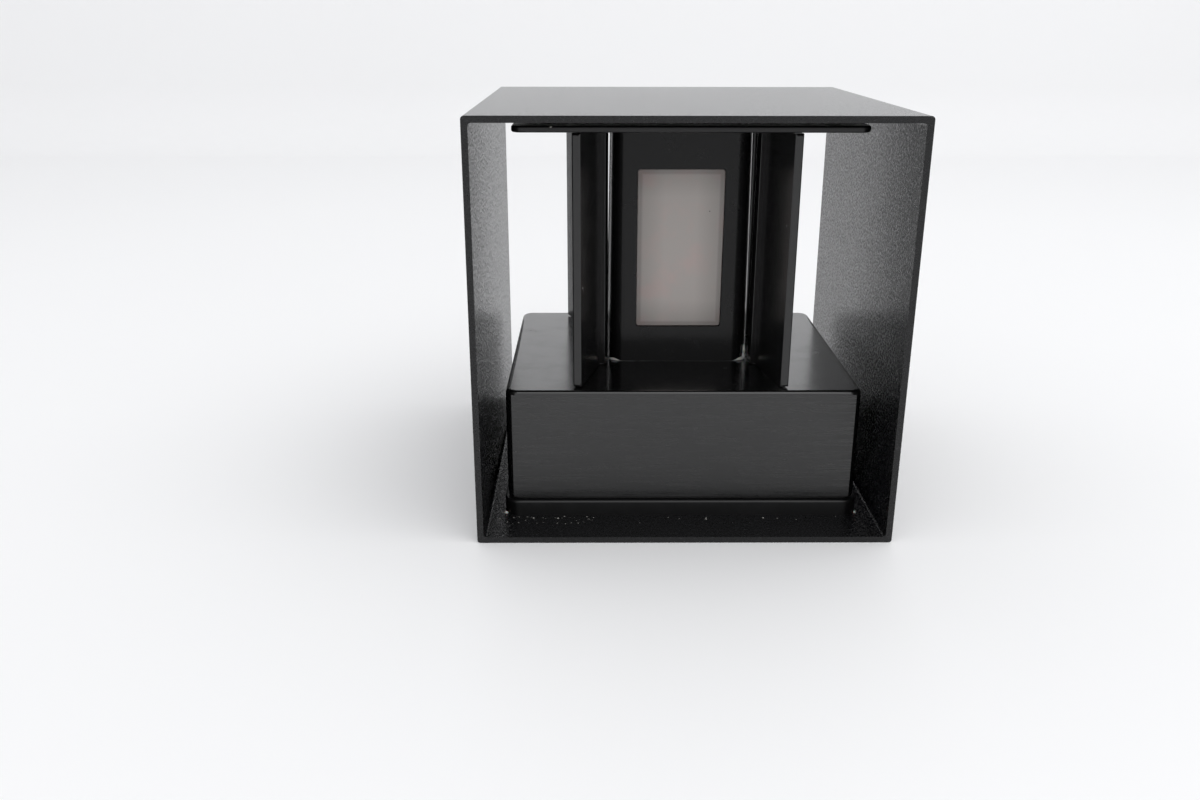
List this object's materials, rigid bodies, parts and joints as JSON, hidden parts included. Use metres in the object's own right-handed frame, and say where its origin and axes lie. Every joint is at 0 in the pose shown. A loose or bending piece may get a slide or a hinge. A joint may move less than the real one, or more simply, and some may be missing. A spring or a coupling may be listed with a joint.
{
  "type": "outdoor wall light",
  "caption": "Square outdoor wall light: an open aluminium tube around a lamp body with frosted up and down windows and hinged beam flaps.",
  "frame": {"origin": "middle of the flat wall face of the shell", "axes": "+Z points away from the wall, +Y and -Y are the two directions in which the light leaves (up and down on a wall), +X runs across"},
  "size_m": [0.1, 0.1, 0.1],
  "materials": {
    "shell_coat": "fine-textured matt black powder coat",
    "cast_body_coat": "smooth satin black paint",
    "base_coat": "satin black paint",
    "post_coat": "smooth gloss-edged black paint",
    "plate_coat": "satin black paint",
    "flap_coat": "satin black paint",
    "screw_steel": "plain zinc-plated steel",
    "black_screw_steel": "blackened steel",
    "pin_steel": "dark stainless steel",
    "washer_nylon": "black nylon",
    "gasket_rubber": "matt black rubber",
    "clear_sealant": "cloudy translucent silicone",
    "frosted_diffuser": "frosted polycarbonate",
    "gland_nylon": "moulded black nylon",
    "lamp_board": "white solder mask on aluminium",
    "thermal_pad": "soft grey pad",
    "emitter_ceramic": "white ceramic",
    "phosphor": "yellow silicone phosphor",
    "circuit_board": "green solder mask",
    "insulating_sheet": "thin insulating film",
    "ferrite": "sintered ferrite",
    "winding_tape": "yellow insulating tape",
    "capacitor_sleeve": "shrink sleeve",
    "chip_epoxy": "moulded epoxy",
    "fuse_body": "moulded case",
    "terminal_plastic": "moulded nylon",
    "lead_insulation": "silicone insulation"
  },
  "bodies": {
    "root": {"outer_shell": "shell_coat", "body_screws": "black_screw_steel", "base_plate": "base_coat", "housing_gasket": "gasket_rubber", "driver_housing": "cast_body_coat", "gland_body": "gland_nylon", "gland_seal": "gasket_rubber", "gland_nut": "gland_nylon", "led_post": "post_coat", "post_screws": "screw_steel", "post_sealant": "clear_sealant", "lamp_board_screws": "screw_steel", "top_plate": "plate_coat", "top_plate_screws": "black_screw_steel", "lower_hinge_washers": "washer_nylon", "upper_hinge_washers": "washer_nylon", "driver_board": "circuit_board", "driver_insulator": "insulating_sheet", "driver_screws": "screw_steel", "transformer_core": "ferrite", "transformer_winding": "winding_tape", "driver_capacitors": "capacitor_sleeve", "driver_inductor": "ferrite", "driver_rectifier": "chip_epoxy", "driver_fuse": "fuse_body", "terminal_block": "terminal_plastic", "terminal_screws": "screw_steel", "led_leads_front": "lead_insulation", "led_leads_rear": "lead_insulation", "supply_leads": "lead_insulation", "diffuser_front": "frosted_diffuser", "diffuser_seal_front": "clear_sealant", "led_board_front": "lamp_board", "thermal_pad_front": "thermal_pad", "led_emitter_front": "emitter_ceramic", "led_phosphor_front": "phosphor", "diffuser_rear": "frosted_diffuser", "diffuser_seal_rear": "clear_sealant", "led_board_rear": "lamp_board", "thermal_pad_rear": "thermal_pad", "led_emitter_rear": "emitter_ceramic", "led_phosphor_rear": "phosphor", "hinge_pin_front_left": "pin_steel", "hinge_pin_front_right": "pin_steel", "hinge_pin_rear_left": "pin_steel", "hinge_pin_rear_right": "pin_steel"},
    "flap_front_left": {"flap_front_left": "flap_coat"},
    "flap_front_right": {"flap_front_right": "flap_coat"},
    "flap_rear_left": {"flap_rear_left": "flap_coat"},
    "flap_rear_right": {"flap_rear_right": "flap_coat"}
  },
  "joints": [
    {"name": "flap_front_left_hinge", "type": "hinge", "parent": "root", "child": "flap_front_left", "pos_m": [-0.02063, -0.0132, 0.065], "axis": [0, 0, -1], "range_deg": [-14, 46]},
    {"name": "flap_front_right_hinge", "type": "hinge", "parent": "root", "child": "flap_front_right", "pos_m": [0.02063, -0.0132, 0.065], "axis": [0, 0, 1], "range_deg": [-10.4, 49.6]},
    {"name": "flap_rear_left_hinge", "type": "hinge", "parent": "root", "child": "flap_rear_left", "pos_m": [-0.02063, 0.0132, 0.065], "axis": [0, 0, 1], "range_deg": [-22, 38]},
    {"name": "flap_rear_right_hinge", "type": "hinge", "parent": "root", "child": "flap_rear_right", "pos_m": [0.02063, 0.0132, 0.065], "axis": [0, 0, -1], "range_deg": [-15, 45]}
  ]
}
